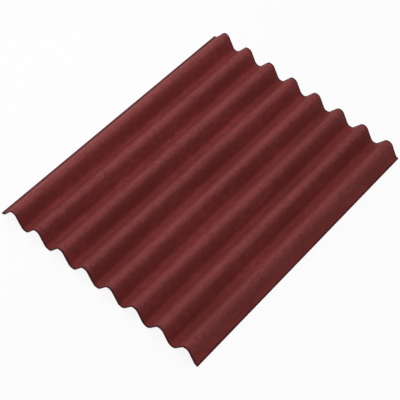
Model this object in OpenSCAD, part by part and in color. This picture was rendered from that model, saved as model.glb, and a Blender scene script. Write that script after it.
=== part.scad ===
// Corrugated roofing sheet: one board of constant thickness, pressed into round
// waves that run the whole length of the sheet. The origin is under the middle
// of the sheet, the waves run along Y, and the valleys lie on the ground at Z = 0.

/* [Waves] */
// Number of whole waves, counted from edge to edge
wave_count = 8; // [2:1:14]
// Distance from one crest to the next
wave_pitch = 95; // [85:1:130]
// Height of the sheet, from the underside of its valleys to the top of its crests
wave_height = 50; // [34:1:60]
// Radius of every crest and valley, measured to the middle of the board
bend_radius = 16; // [12:0.5:20]

/* [Board] */
// Length of the sheet, along its waves
sheet_length = 1000; // [300:10:3000]
// Thickness of the board
board_thickness = 3; // [2:0.1:5]

/* [Hidden] */

// Distance that the flanks dip into the bends, so that the faces cross there
bite = 0.01;
// How far the working outlines run past the sheet's own section
spare = 10;
// Sides of a drawn circle
bend_sides = 96;
// Dark oxide red, matt
board_colour = [0.42, 0.17, 0.17];

sheet_width = wave_count * wave_pitch;
half_pitch = wave_pitch / 2;
outer_radius = bend_radius + board_thickness / 2;
inner_radius = bend_radius - board_thickness / 2;

// Heights of the bends' centres
crest_z = wave_height - outer_radius;
valley_z = outer_radius;

// Slope of the straight flanks, which touch the bends above and below them
bend_rise = crest_z - valley_z;
flank_angle = asin(2 * bend_radius / norm([half_pitch, bend_rise])) + atan2(bend_rise, half_pitch);

function crest_x(i) = -sheet_width / 2 + half_pitch + i * wave_pitch;
function valley_x(i) = -sheet_width / 2 + i * wave_pitch;

// Where a flank meets a crest or a valley: side is -1 on its left and 1 on its right
function crest_end(i, side, radius) =
    [crest_x(i) + side * (radius - bite) * sin(flank_angle),
     crest_z + (radius - bite) * cos(flank_angle)];
function valley_end(i, side, radius) =
    [valley_x(i) + side * (radius - bite) * sin(flank_angle),
     valley_z - (radius - bite) * cos(flank_angle)];

// Everything below one face of the board, with its crests and valleys rounded
module below_face(crest_radius, valley_radius) {
    left = valley_end(0, -1, valley_radius);
    right = valley_end(wave_count, 1, valley_radius);
    waves = [
        for (i = [wave_count - 1 : -1 : 0])
            each [
                valley_end(i + 1, -1, valley_radius),
                crest_end(i, 1, crest_radius),
                crest_end(i, -1, crest_radius),
                valley_end(i, 1, valley_radius)
            ]
    ];
    difference() {
        union() {
            polygon(concat([[right.x, -spare], right], waves, [left, [left.x, -spare]]));
            for (i = [0 : wave_count - 1])
                translate([crest_x(i), crest_z]) circle(r = crest_radius, $fn = bend_sides);
        }
        for (i = [0 : wave_count])
            translate([valley_x(i), valley_z]) circle(r = valley_radius, $fn = bend_sides);
    }
}

// Section of the board, cut off square at the bottom of the outermost valleys
module wave_section() {
    intersection() {
        translate([-sheet_width / 2, -spare / 2]) square([sheet_width, wave_height + spare]);
        difference() {
            below_face(outer_radius, inner_radius);
            below_face(inner_radius, outer_radius);
        }
    }
}

module corrugated_sheet() {
    color(board_colour)
        translate([0, sheet_length / 2, 0])
            rotate([90, 0, 0])
                linear_extrude(sheet_length)
                    wave_section();
}

corrugated_sheet();
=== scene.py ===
"""A corrugated roofing sheet: one coated fibre board pressed into round waves, on a pale studio floor."""

import math

import bmesh
import bpy
from bpy.props import FloatProperty, FloatVectorProperty, IntProperty, PointerProperty
from mathutils import Matrix, Vector, noise


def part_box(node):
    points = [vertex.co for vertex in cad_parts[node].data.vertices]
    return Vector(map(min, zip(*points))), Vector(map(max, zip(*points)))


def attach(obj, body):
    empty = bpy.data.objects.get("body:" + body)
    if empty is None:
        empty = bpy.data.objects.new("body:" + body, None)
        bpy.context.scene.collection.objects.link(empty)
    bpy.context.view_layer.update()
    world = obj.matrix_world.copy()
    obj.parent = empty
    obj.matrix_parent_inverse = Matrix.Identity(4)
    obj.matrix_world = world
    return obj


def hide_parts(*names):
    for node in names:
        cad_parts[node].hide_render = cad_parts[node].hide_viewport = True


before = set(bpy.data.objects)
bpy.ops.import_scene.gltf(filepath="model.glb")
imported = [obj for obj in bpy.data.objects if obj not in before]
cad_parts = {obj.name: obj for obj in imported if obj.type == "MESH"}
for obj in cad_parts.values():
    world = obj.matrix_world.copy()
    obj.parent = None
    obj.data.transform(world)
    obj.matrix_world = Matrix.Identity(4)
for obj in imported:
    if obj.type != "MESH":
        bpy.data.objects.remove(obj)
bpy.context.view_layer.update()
NODE = "corrugated_sheet"
NODE_LOW, NODE_HIGH = (Vector(corner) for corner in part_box(NODE))

bl_info = {
    "name": "Corrugated roofing sheet",
    "version": (1, 0, 0),
    "blender": (4, 5, 0),
    "location": "View3D > Sidebar > Roofing",
    "description": "Builds a pressed fibre roofing sheet with its coat, bare edges and studio stage",
    "category": "Object",
}


# ---------------------------------------------------------------- settings


class RoofingSheetShape(bpy.types.PropertyGroup):
    """Sizes of the pressed board. Its overall width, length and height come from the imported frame"""

    wave_count: IntProperty(
        name="Waves", description="Whole waves from edge to edge", default=8, min=2, max=14
    )
    board_thickness: FloatProperty(
        name="Board thickness", description="Thickness of the board",
        default=0.003, min=0.001, unit="LENGTH",
    )
    bend_radius: FloatProperty(
        name="Bend radius", description="Radius of every crest and valley at the middle of the board",
        default=0.016, min=0.005, unit="LENGTH",
    )
    bend_steps: IntProperty(
        name="Bend steps", description="Faces round one whole crest or valley", default=12, min=4
    )
    flank_steps: IntProperty(
        name="Flank steps", description="Faces down one straight flank", default=4, min=1
    )
    length_steps: IntProperty(
        name="Length steps", description="Faces along the sheet", default=120, min=1
    )
    edge_round: FloatProperty(
        name="Edge round", description="Wear round on the sheet's cut edges",
        default=0.0005, min=0.0, unit="LENGTH",
    )
    inset: FloatProperty(
        name="Inset", description="Room kept inside the frame's box for the board's unevenness",
        default=0.0006, min=0.0, unit="LENGTH",
    )
    wander: FloatProperty(
        name="Wave wander", description="How far a wave strays sideways along its length",
        default=0.0012, min=0.0, unit="LENGTH",
    )
    sag: FloatProperty(
        name="Unevenness", description="How far a wave stands lower in one place than in another",
        default=0.0005, min=0.0, unit="LENGTH",
    )
    ragged: FloatProperty(
        name="Ragged ends", description="How far the cut ends stray, which is less than the inset",
        default=0.00048, min=0.0, unit="LENGTH",
    )


class RoofingSheetFinish(bpy.types.PropertyGroup):
    """Colours and wear of the board; the faded coat also paints a highlight on the crests"""

    coat: FloatVectorProperty(
        name="Coat", description="Oxide red resin coat on the weather side",
        subtype="COLOR", size=3, min=0.0, max=1.0, default=(0.232, 0.0360, 0.0350),
    )
    # Paler coat of the rubbed crests and flecks, which also paints a highlight along the crests' tops
    faded_coat_and_crest_highlight: FloatVectorProperty(
        name="Faded coat", description="The coat where it is rubbed and dusty along the crests",
        subtype="COLOR", size=3, min=0.0, max=1.0, default=(0.183, 0.0415, 0.0410),
    )
    coat_dark: FloatVectorProperty(
        name="Dark coat", description="The coat where more of the dark board shows through it",
        subtype="COLOR", size=3, min=0.0, max=1.0, default=(0.119, 0.0165, 0.0146),
    )
    bare_board: FloatVectorProperty(
        name="Bare board", description="Dark fibre board at the cut edges",
        subtype="COLOR", size=3, min=0.0, max=1.0, default=(0.062, 0.0095, 0.0115),
    )
    underside: FloatVectorProperty(
        name="Underside", description="Dark brown underside of the board",
        subtype="COLOR", size=3, min=0.0, max=1.0, default=(0.06, 0.02, 0.0165),
    )
    coat_sheen: FloatProperty(
        name="Coat sheen", description="Pale look of the matt coat where it is seen aslant",
        default=0.025, min=0.0, max=1.0, subtype="FACTOR",
    )
    rim_width: FloatProperty(
        name="Chipped rim", description="Width of the chipped coat along the cut edges",
        default=0.0055, min=0.0, unit="LENGTH",
    )
    screen_print: FloatProperty(
        name="Screen print", description="Spacing of the square print that the press leaves underneath",
        default=0.0022, min=0.0005, unit="LENGTH",
    )


class RoofingSheetStage(bpy.types.PropertyGroup):
    """Camera, floor, surround and lamp"""

    heading: FloatProperty(
        name="Camera heading", description="How far the camera looks round from +Y towards -X",
        default=math.radians(33.3), subtype="ANGLE",
    )
    tilt: FloatProperty(
        name="Camera tilt", description="How far the camera looks down",
        default=math.radians(54.0), subtype="ANGLE",
    )
    roll: FloatProperty(
        name="Camera roll", description="How far the camera leans over to its left",
        default=math.radians(8.0), subtype="ANGLE",
    )
    distance: FloatProperty(
        name="Camera distance", description="From the camera to the point that it looks at",
        default=3.573, min=0.1, unit="LENGTH",
    )
    focal_length: FloatProperty(
        name="Focal length", description="Lens length on a 36 mm sensor, in millimetres",
        default=106.6, min=10.0, max=400.0,
    )
    aim_across: FloatProperty(
        name="Aim across", description="Where the camera looks, across the waves",
        default=0.0305, unit="LENGTH",
    )
    aim_along: FloatProperty(
        name="Aim along", description="Where the camera looks, along the waves",
        default=-0.0722, unit="LENGTH",
    )
    floor_colour: FloatVectorProperty(
        name="Floor", description="Pale studio floor",
        subtype="COLOR", size=3, min=0.0, max=1.0, default=(0.7, 0.7, 0.7),
    )
    floor_glow: FloatProperty(
        name="Floor white", description="Share of plain white in what the camera sees of the floor",
        default=0.9, min=0.0, max=1.0, subtype="FACTOR",
    )
    surround: FloatProperty(
        name="Surround", description="Strength of the white surround's light at its brightest",
        default=1.05, min=0.0,
    )
    surround_low: FloatProperty(
        name="Surround low down", description="Share of that strength that comes from near the floor",
        default=0.25, min=0.0, max=1.0, subtype="FACTOR",
    )
    surround_lean: FloatProperty(
        name="Surround lean", description="How far the surround's brightest part leans towards -X",
        default=math.radians(12.0), subtype="ANGLE",
    )
    lamp_place: FloatVectorProperty(
        name="Lamp", description="Where the soft lamp hangs, to the left of the sheet's middle",
        subtype="TRANSLATION", unit="LENGTH", size=3, default=(-0.6, 0.0, 1.0),
    )
    lamp_size: FloatProperty(
        name="Lamp size", description="Side of the soft square lamp", default=1.6, min=0.01, unit="LENGTH",
    )
    lamp_power: FloatProperty(
        name="Lamp power", description="Power of the soft lamp", default=8.7, min=0.0, unit="POWER",
    )


# ---------------------------------------------------------------- the board's shape

# Corners sharper than this are cut ones, since a bend turns far less from one face to the next
CUT_CORNER = math.radians(60)
# A face whose normal has more than this along the sheet, or less than this up or down, is a cut one
CUT_FACING = 0.3
# The board's finishes, in the order of its material slots
COAT, CUT_EDGE, UNDERSIDE = range(3)

# Cells to the metre of the noise that each kind of unevenness is read from
WANDER_CELLS = 1.7
SAG_CELLS_ACROSS = 4.0
SAG_CELLS_ALONG = 2.3
RAGGED_CELLS = 60.0
# Where in the noise wander and sag are read, and how far apart two waves are there
WANDER_LAYER = 5.0
SAG_LAYER = 11.0
WAVES_APART = 3.1
# How far in from a cut end its raggedness dies away, in metres
RAGGED_REACH = 0.01


def section_sizes(shape):
    """The wave's pitch, the slope and length of its flanks, and the heights of its bends' centres."""
    pitch = (NODE_HIGH.x - NODE_LOW.x - 2 * shape.inset) / shape.wave_count
    height = NODE_HIGH.z - NODE_LOW.z - 2 * shape.inset
    outer = shape.bend_radius + shape.board_thickness / 2
    rise = height - 2 * outer
    slope = math.asin(2 * shape.bend_radius / math.hypot(pitch / 2, rise)) + math.atan2(rise, pitch / 2)
    run = pitch / 2 - 2 * shape.bend_radius * math.sin(slope)
    return {
        "pitch": pitch,
        "slope": slope,
        "flank": run / math.cos(slope),
        "valley_z": NODE_LOW.z + shape.inset + outer,
        "crest_z": NODE_HIGH.z - shape.inset - outer,
        "outer": outer,
    }


def draw_bend(bm, tip, centre, angle, steps):
    """Turns the line's last vertex about a bend's centre, and returns the new last vertex."""
    made = bmesh.ops.spin(
        bm, geom=tip, cent=centre, axis=(0, 1, 0), angle=angle, steps=steps, use_merge=False
    )
    return [part for part in made["geom_last"] if isinstance(part, bmesh.types.BMVert)]


def draw_flank(bm, tip, step, steps):
    """Carries the line's last vertex up or down a straight flank, and returns the new last vertex."""
    made = bmesh.ops.spin(
        bm, geom=tip, cent=(0, 0, 0), axis=(0, 1, 0), dvec=step, angle=0, steps=steps, use_merge=False
    )
    return [part for part in made["geom_last"] if isinstance(part, bmesh.types.BMVert)]


def draw_underside_line(bm, shape, sizes):
    """Draws the underside of the section at the sheet's near end, from its left edge to its right."""
    near = NODE_LOW.y + shape.inset
    left = NODE_LOW.x + shape.inset
    slope = sizes["slope"]
    half_steps = max(shape.bend_steps // 2, 1)
    climb = Vector((math.cos(slope), 0, math.sin(slope))) * sizes["flank"] / shape.flank_steps
    fall = Vector((climb.x, 0, -climb.z))
    tip = [bm.verts.new((left, near, sizes["valley_z"] - sizes["outer"]))]
    for wave in range(shape.wave_count):
        valley = Vector((left + wave * sizes["pitch"], near, sizes["valley_z"]))
        crest = Vector((valley.x + sizes["pitch"] / 2, near, sizes["crest_z"]))
        next_valley = valley + Vector((sizes["pitch"], 0, 0))
        tip = draw_bend(bm, tip, valley, -slope, half_steps)
        tip = draw_flank(bm, tip, climb, shape.flank_steps)
        tip = draw_bend(bm, tip, crest, 2 * slope, shape.bend_steps)
        tip = draw_flank(bm, tip, fall, shape.flank_steps)
        tip = draw_bend(bm, tip, next_valley, -slope, half_steps)


def draw_board(bm, shape):
    """Draws the underside, runs it along the sheet and gives it the board's thickness."""
    sizes = section_sizes(shape)
    draw_underside_line(bm, shape, sizes)
    length = NODE_HIGH.y - NODE_LOW.y - 2 * shape.inset
    bmesh.ops.spin(
        bm, geom=bm.verts[:] + bm.edges[:], cent=(0, 0, 0), axis=(0, 1, 0),
        dvec=(0, length / shape.length_steps, 0), angle=0, steps=shape.length_steps, use_merge=False,
    )
    bmesh.ops.recalc_face_normals(bm, faces=bm.faces[:])
    # An open surface has no outside, so its faces may all have come out pointing down
    if sum(face.normal.z for face in bm.faces) < 0:
        bmesh.ops.reverse_faces(bm, faces=bm.faces[:])
    bmesh.ops.solidify(bm, geom=bm.faces[:], thickness=-shape.board_thickness)
    bmesh.ops.recalc_face_normals(bm, faces=bm.faces[:])


def is_cut_edge(edge):
    """Whether an edge is one of the square corners round the board's cut faces."""
    return len(edge.link_faces) == 2 and edge.calc_face_angle() > CUT_CORNER


def round_cut_edges(bm, shape):
    """Wears the corners of the board's cut faces round."""
    bmesh.ops.bevel(
        bm, geom=[edge for edge in bm.edges if is_cut_edge(edge)], offset=shape.edge_round,
        offset_type="OFFSET", affect="EDGES", segments=2, profile=0.5, material=-1,
        clamp_overlap=True,
    )


def uneven(place, shape, pitch):
    """How far one point of the pressed board strays, since no two waves come off the press alike."""
    # Waves part at their crests, where a small step sideways leaves the height as it is
    valley = round(place.x / pitch)
    wander = noise.noise(Vector((valley * WAVES_APART, place.y * WANDER_CELLS, WANDER_LAYER)))
    ragged = noise.noise(place * RAGGED_CELLS)
    sag = noise.noise(Vector((place.x * SAG_CELLS_ACROSS, place.y * SAG_CELLS_ALONG, SAG_LAYER)))
    # The long edges stay straight, only the ends are ragged, and the valleys rest on the floor
    off_the_sides = 1.0 - (place.x / NODE_HIGH.x) ** 8
    near_an_end = 1.0 - min((NODE_HIGH.y - abs(place.y)) / RAGGED_REACH, 1.0)
    height = (place.z - NODE_LOW.z) / (NODE_HIGH.z - NODE_LOW.z)
    return Vector((
        wander * shape.wander * off_the_sides,
        ragged * shape.ragged * near_an_end,
        sag * shape.sag * height,
    ))


def finish_of(face):
    """Which finish a face has: the coat on top, the underside, or the bare cut edge between them."""
    if abs(face.normal.y) >= CUT_FACING or abs(face.normal.z) <= CUT_FACING:
        return CUT_EDGE
    return COAT if face.normal.z > 0 else UNDERSIDE


def build_board(shape):
    """The whole pressed board as one closed mesh, each face with the index of its finish."""
    bm = bmesh.new()
    draw_board(bm, shape)
    round_cut_edges(bm, shape)
    pitch = section_sizes(shape)["pitch"]
    for vert in bm.verts:
        vert.co += uneven(vert.co.copy(), shape, pitch)
    bm.normal_update()
    for face in bm.faces:
        face.smooth = True
        face.material_index = finish_of(face)
    mesh = bpy.data.meshes.new("pressed_board")
    bm.to_mesh(mesh)
    bm.free()
    return mesh


# ---------------------------------------------------------------- the board's finishes

WHITE = (1.0, 1.0, 1.0, 1.0)
# Length of one wave of a Wave Texture node whose scale is 1
WAVE_NODE_PERIOD = math.pi / 10


def rgba(colour):
    """A colour setting as a socket takes it."""
    return (*colour, 1.0)


def at_height(share):
    """The height that lies this share of the way up the waves."""
    return NODE_LOW.z + share * (NODE_HIGH.z - NODE_LOW.z)


class Shader:
    """A material or world being put together: adds nodes, joins them and sets their sockets."""

    def __init__(self, owner, output_kind="ShaderNodeOutputMaterial"):
        self.owner = owner
        self.owner.use_nodes = True
        self.tree = owner.node_tree
        self.tree.nodes.clear()
        self.output = self.add(output_kind)

    def add(self, kind, settings=None, inputs=None):
        """Adds a node. An input is a value for its socket, or another node's output to join to it."""
        node = self.tree.nodes.new(kind)
        for key, value in (settings or {}).items():
            setattr(node, key, value)
        for key, value in (inputs or {}).items():
            if isinstance(value, bpy.types.NodeSocket):
                self.tree.links.new(value, node.inputs[key])
            else:
                node.inputs[key].default_value = value
        return node

    def places(self, scale):
        """Object coordinates times scale: below 1, a pattern is drawn out along that axis."""
        coordinates = self.add("ShaderNodeTexCoord")
        mapping = self.add(
            "ShaderNodeMapping", {"vector_type": "POINT"},
            {"Vector": coordinates.outputs["Object"], "Scale": scale},
        )
        return mapping.outputs["Vector"]

    def noise(self, place, scale, detail=4.0, roughness=0.55):
        """Noise from 0 to 1, with about scale cells to each metre of place."""
        node = self.add(
            "ShaderNodeTexNoise", {"noise_dimensions": "3D"},
            {"Vector": place, "Scale": scale, "Detail": detail, "Roughness": roughness},
        )
        return node.outputs["Fac"]

    def ramp(self, value, low, high):
        """Spreads the part of value between low and high over 0 to 1."""
        node = self.add(
            "ShaderNodeMapRange", {"clamp": True, "interpolation_type": "SMOOTHSTEP"},
            {"Value": value, "From Min": low, "From Max": high},
        )
        return node.outputs["Result"]

    def math(self, operation, first, second):
        """What one sum on two values gives."""
        node = self.add("ShaderNodeMath", {"operation": operation}, {0: first, 1: second})
        return node.outputs["Value"]

    def mix(self, share, first, second):
        """The first colour where share is 0, and the second where it is 1."""
        node = self.add(
            "ShaderNodeMix", {"data_type": "RGBA"},
            {"Factor": share, "A": first, "B": second},
        )
        return node.outputs["Result"]

    def tint(self, colour, mask, strength, other):
        """Mixes another colour in, by strength where the mask is 1 and not at all where it is 0."""
        return self.mix(self.math("MULTIPLY", mask, strength), colour, rgba(other))

    def bump(self, height, distance, strength, normal=None):
        """Relief of a height from 0 to 1 that stands this distance proud, on top of an earlier relief."""
        inputs = {"Height": height, "Distance": distance, "Strength": strength}
        if normal is not None:
            inputs["Normal"] = normal
        return self.add("ShaderNodeBump", None, inputs).outputs["Normal"]

    def finish(self, colour, roughness, normal, specular, sheen=0.0):
        """Ends the material in one surface of these looks, and returns the material."""
        surface = self.add(
            "ShaderNodeBsdfPrincipled", None,
            {"Base Color": colour, "Roughness": roughness, "Normal": normal,
             "Specular IOR Level": specular, "Sheen Weight": sheen, "Sheen Roughness": 0.5},
        )
        self.tree.links.new(surface.outputs["BSDF"], self.output.inputs["Surface"])
        return self.owner


def coat_material(finish):
    """Matt oxide red resin over fibre board: cloudy, faded and painted with a highlight on the crests,
    painted lighter in the valleys, chipped at the rims, felted.
    """
    shader = Shader(bpy.data.materials.new("oxide_red_coat"))
    place = shader.places((1.0, 1.0, 1.0))
    drawn_out = shader.places((1.0, 0.3, 1.0))
    streaked = shader.places((1.0, 0.08, 1.0))

    clouds = shader.ramp(shader.noise(drawn_out, 11.0, 5.0), 0.32, 0.7)
    colour = shader.mix(clouds, rgba(finish.coat_dark), rgba(finish.coat))
    mottle = shader.ramp(shader.noise(place, 50.0, 7.0, 0.75), 0.38, 0.62)
    colour = shader.tint(colour, mottle, 0.8, finish.coat_dark)
    streaks = shader.ramp(shader.noise(streaked, 240.0, 4.0, 0.6), 0.35, 0.7)
    colour = shader.tint(colour, streaks, 0.3, finish.coat_dark)
    # Painted highlight on the crests along with their wear, and painted light in the valleys
    colour = crest_wear_and_painted_highlight(shader, place, colour, finish)
    pale_flecks = shader.ramp(shader.noise(place, 650.0, 2.0), 0.58, 0.72)
    colour = shader.tint(colour, pale_flecks, 0.5, finish.faded_coat_and_crest_highlight)
    dark_flecks = shader.ramp(shader.noise(drawn_out, 480.0, 3.0), 0.6, 0.75)
    colour = shader.tint(colour, dark_flecks, 0.6, finish.bare_board)
    colour = shader.mix(rim_share(shader, place, finish), colour, rgba(finish.bare_board))

    dents = shader.bump(shader.noise(drawn_out, 45.0, 3.0), 0.0012, 0.6)
    felt = shader.bump(shader.noise(place, 380.0, 8.0, 0.65), 0.0014, 0.8, dents)
    fibres = shader.bump(shader.noise(streaked, 900.0, 3.0, 0.6), 0.0004, 0.5, felt)
    roughness = shader.add(
        "ShaderNodeMapRange", None,
        {"Value": shader.noise(place, 25.0, 4.0), "To Min": 0.58, "To Max": 0.72},
    ).outputs["Result"]
    return shader.finish(colour, roughness, fibres, specular=0.08, sheen=finish.coat_sheen)


def crest_wear_and_painted_highlight(shader, place, colour, finish):
    """Fades the coat in rubbed patches on the crests, which also paints a highlight on their tops, and
    paints light into the valleys, bringing them towards the full, lighter coat colour against their shade.
    """
    height = shader.add("ShaderNodeSeparateXYZ", None, {"Vector": place}).outputs["Z"]
    # Painted highlight as well as wear: the crests' tops turn paler in patches towards the top of the
    # waves
    crest = shader.ramp(height, at_height(0.45), at_height(1.0))
    rubbed_and_highlit_patches = shader.ramp(shader.noise(place, 80.0, 7.0, 0.7), 0.28, 0.68)
    colour = shader.tint(colour, crest, rubbed_and_highlit_patches, finish.faded_coat_and_crest_highlight)
    # Painted light: the valleys are brought towards the full, lighter coat colour to lift their shade
    painted_valley_light = shader.ramp(height, at_height(0.9), at_height(0.2))
    return shader.tint(colour, painted_valley_light, 0.2, finish.coat)


def rim_share(shader, place, finish):
    """1 on the few millimetres along the cut edges where the coat has chipped off, and 0 elsewhere."""
    width = finish.rim_width
    frayed = shader.noise(place, 320.0, 4.0, 0.65)
    fray = shader.math("MULTIPLY", shader.math("SUBTRACT", frayed, 0.5), 1.5 * width)
    axes = shader.add("ShaderNodeSeparateXYZ", None, {"Vector": place})
    shares = []
    for axis, reach in (("X", NODE_HIGH.x), ("Y", NODE_HIGH.y)):
        from_middle = shader.math("ABSOLUTE", axes.outputs[axis], 0.0)
        frayed_place = shader.math("ADD", from_middle, fray)
        shares.append(shader.ramp(frayed_place, reach - 1.3 * width, reach - 0.7 * width))
    return shader.math("MAXIMUM", *shares)


def bare_edge_material(finish):
    """Cut edge of the board: dark pressed fibres in layers."""
    shader = Shader(bpy.data.materials.new("bare_cut_edge"))
    layers = shader.noise(shader.places((1.0, 1.0, 4.0)), 260.0, 4.0)
    colour = shader.mix(shader.ramp(layers, 0.4, 0.65), rgba(finish.bare_board), rgba(finish.underside))
    normal = shader.bump(shader.noise(shader.places((1.0, 1.0, 3.0)), 900.0, 5.0), 0.0008, 0.7)
    return shader.finish(colour, 0.8, normal, specular=0.2)


def underside_material(finish):
    """Underside of the board: dark and matt, with the fine square print of the press screen."""
    shader = Shader(bpy.data.materials.new("board_underside"))
    place = shader.places((1.0, 1.0, 1.0))
    clouds = shader.ramp(shader.noise(place, 14.0, 5.0), 0.35, 0.7)
    colour = shader.mix(clouds, rgba(finish.bare_board), rgba(finish.underside))
    stains = shader.ramp(shader.noise(shader.places((1.0, 0.3, 1.0)), 90.0, 5.0), 0.5, 0.75)
    colour = shader.tint(colour, stains, 0.4, finish.coat_dark)
    normal = shader.bump(shader.noise(place, 650.0, 4.0), 0.0006, 0.5)
    for axis in ("X", "Y"):
        print_lines = shader.add(
            "ShaderNodeTexWave", {"wave_type": "BANDS", "bands_direction": axis, "wave_profile": "SIN"},
            {"Vector": place, "Scale": WAVE_NODE_PERIOD / finish.screen_print, "Distortion": 0.4},
        ).outputs["Fac"]
        normal = shader.bump(print_lines, 0.0003, 0.35, normal)
    return shader.finish(colour, 0.78, normal, specular=0.3)


def settled(name, mesh, materials):
    """Puts a finished mesh in the scene as an object at the origin, with its materials in order."""
    for material in materials:
        mesh.materials.append(material)
    piece = bpy.data.objects.new(name, mesh)
    bpy.context.scene.collection.objects.link(piece)
    return piece


class ROOFING_OT_board(bpy.types.Operator):
    """Build the pressed board with its coat, cut edges and underside"""

    bl_idname = "roofing.board"
    bl_label = "Pressed board"

    def execute(self, context):
        shape = context.scene.roofing_shape
        finish = context.scene.roofing_finish
        # In the order of COAT, CUT_EDGE and UNDERSIDE
        materials = [coat_material(finish), bare_edge_material(finish), underside_material(finish)]
        board = settled("pressed_board", build_board(shape), materials)
        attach(board, "root")
        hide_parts(NODE)
        return {"FINISHED"}


# ---------------------------------------------------------------- the stage

# Half the side of the floor, and how far it lies below the frame's lowest point, in metres
FLOOR_REACH = 30.0
FLOOR_GAP = 0.0002


def camera_turn(stage):
    """The camera's turn: its heading, then its tilt, then its roll about its own line of sight."""
    heading = Matrix.Rotation(stage.heading, 3, "Z")
    tilt = Matrix.Rotation(math.radians(90.0) - stage.tilt, 3, "X")
    roll = Matrix.Rotation(stage.roll, 3, "Z")
    return (heading @ tilt @ roll).to_4x4()


def add_camera(stage):
    """The camera, aimed at a point half way up the sheet's waves."""
    data = bpy.data.cameras.new("camera")
    data.lens = stage.focal_length
    data.sensor_width = 36.0
    camera = bpy.data.objects.new("camera", data)
    bpy.context.scene.collection.objects.link(camera)
    aim = Vector((stage.aim_across, stage.aim_along, (NODE_LOW.z + NODE_HIGH.z) / 2))
    turn = camera_turn(stage)
    camera.matrix_world = Matrix.Translation(aim + turn @ Vector((0, 0, stage.distance))) @ turn
    bpy.context.scene.camera = camera


def add_lamp(stage):
    """A soft square lamp that faces the middle of the sheet."""
    data = bpy.data.lights.new("soft_lamp", "AREA")
    data.shape = "SQUARE"
    data.size = stage.lamp_size
    data.energy = stage.lamp_power
    lamp = bpy.data.objects.new("soft_lamp", data)
    bpy.context.scene.collection.objects.link(lamp)
    place = Vector(stage.lamp_place)
    lamp.matrix_world = Matrix.Translation(place) @ (-place).to_track_quat("-Z", "Y").to_matrix().to_4x4()


def seen_share(shader, most):
    """Most for rays that the camera sees, in a gloss and through glass too, and 0 for those that light."""
    path = shader.add("ShaderNodeLightPath")
    seen = shader.math("MAXIMUM", path.outputs["Is Camera Ray"], path.outputs["Is Glossy Ray"])
    seen = shader.math("MAXIMUM", seen, path.outputs["Is Transmission Ray"])
    return shader.math("MULTIPLY", seen, most)


def floor_material(stage):
    """Pale matt floor that keeps its shadow and reads as white around it."""
    shader = Shader(bpy.data.materials.new("studio_floor"))
    matt = shader.add("ShaderNodeBsdfDiffuse", None, {"Color": rgba(stage.floor_colour)})
    glow = shader.add("ShaderNodeEmission", None, {"Color": WHITE, "Strength": 1.0})
    mixed = shader.add("ShaderNodeMixShader", None, {0: seen_share(shader, stage.floor_glow)})
    shader.tree.links.new(matt.outputs["BSDF"], mixed.inputs[1])
    shader.tree.links.new(glow.outputs["Emission"], mixed.inputs[2])
    shader.tree.links.new(mixed.outputs["Shader"], shader.output.inputs["Surface"])
    return shader.owner


def add_floor(stage):
    """A floor far wider than the view, a hair below the sheet."""
    bm = bmesh.new()
    bmesh.ops.create_grid(bm, x_segments=1, y_segments=1, size=FLOOR_REACH)
    bmesh.ops.translate(bm, verts=bm.verts[:], vec=(0, 0, NODE_LOW.z - FLOOR_GAP))
    mesh = bpy.data.meshes.new("studio_floor")
    bm.to_mesh(mesh)
    bm.free()
    floor = settled("studio_floor", mesh, [floor_material(stage)])


def light_from_above(shader, stage):
    """Strength of the surround's light: full from above and a little to the left, weak from low down."""
    brightest = (-math.sin(stage.surround_lean), 0.0, math.cos(stage.surround_lean))
    direction = shader.add("ShaderNodeTexCoord").outputs["Generated"]
    facing = shader.add(
        "ShaderNodeVectorMath", {"operation": "DOT_PRODUCT"}, {0: direction, 1: brightest}
    ).outputs["Value"]
    return shader.add(
        "ShaderNodeMapRange", None,
        {"Value": facing, "To Min": stage.surround * stage.surround_low, "To Max": stage.surround},
    ).outputs["Result"]


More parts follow.
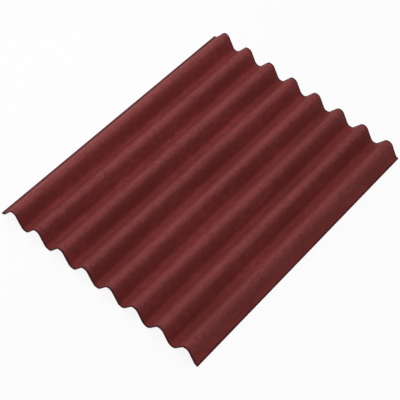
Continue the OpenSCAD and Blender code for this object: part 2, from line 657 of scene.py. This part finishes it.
def set_world(stage):
    """A surround that the camera sees as plain white, and that lights the sheet mostly from above."""
    shader = Shader(bpy.data.worlds.new("studio"), "ShaderNodeOutputWorld")
    strength = light_from_above(shader, stage)
    around = shader.add("ShaderNodeBackground", None, {"Color": WHITE, "Strength": strength})
    seen = shader.add("ShaderNodeBackground", None, {"Color": WHITE, "Strength": 1.0})
    mixed = shader.add("ShaderNodeMixShader", None, {0: seen_share(shader, 1.0)})
    shader.tree.links.new(around.outputs["Background"], mixed.inputs[1])
    shader.tree.links.new(seen.outputs["Background"], mixed.inputs[2])
    shader.tree.links.new(mixed.outputs["Shader"], shader.output.inputs["Surface"])
    bpy.context.scene.world = shader.owner


class ROOFING_OT_stage(bpy.types.Operator):
    """Set up the floor, the lamp, the world and the camera"""

    bl_idname = "roofing.stage"
    bl_label = "Studio stage"

    def execute(self, context):
        stage = context.scene.roofing_stage
        add_floor(stage)
        add_lamp(stage)
        set_world(stage)
        add_camera(stage)
        context.scene.view_settings.view_transform = "Standard"
        return {"FINISHED"}


# ---------------------------------------------------------------- panel and registration


class ROOFING_PT_panel(bpy.types.Panel):
    """Lists the sheet's settings and its operators"""

    bl_label = "Roofing sheet"
    bl_idname = "ROOFING_PT_panel"
    bl_space_type = "VIEW_3D"
    bl_region_type = "UI"
    bl_category = "Roofing"

    def draw(self, context):
        for title, settings in (
            ("Shape", context.scene.roofing_shape),
            ("Finish", context.scene.roofing_finish),
            ("Stage", context.scene.roofing_stage),
        ):
            box = self.layout.box()
            box.label(text=title)
            for key in settings.__annotations__:
                box.prop(settings, key)
        self.layout.operator(ROOFING_OT_board.bl_idname)
        self.layout.operator(ROOFING_OT_stage.bl_idname)


CLASSES = (
    RoofingSheetShape,
    RoofingSheetFinish,
    RoofingSheetStage,
    ROOFING_OT_board,
    ROOFING_OT_stage,
    ROOFING_PT_panel,
)


def register():
    for cls in CLASSES:
        bpy.utils.register_class(cls)
    bpy.types.Scene.roofing_shape = PointerProperty(type=RoofingSheetShape)
    bpy.types.Scene.roofing_finish = PointerProperty(type=RoofingSheetFinish)
    bpy.types.Scene.roofing_stage = PointerProperty(type=RoofingSheetStage)


def unregister():
    del bpy.types.Scene.roofing_stage
    del bpy.types.Scene.roofing_finish
    del bpy.types.Scene.roofing_shape
    for cls in reversed(CLASSES):
        bpy.utils.unregister_class(cls)


def main():
    register()
    bpy.ops.roofing.stage()
    bpy.ops.roofing.board()


if __name__ == "__main__":
    main()
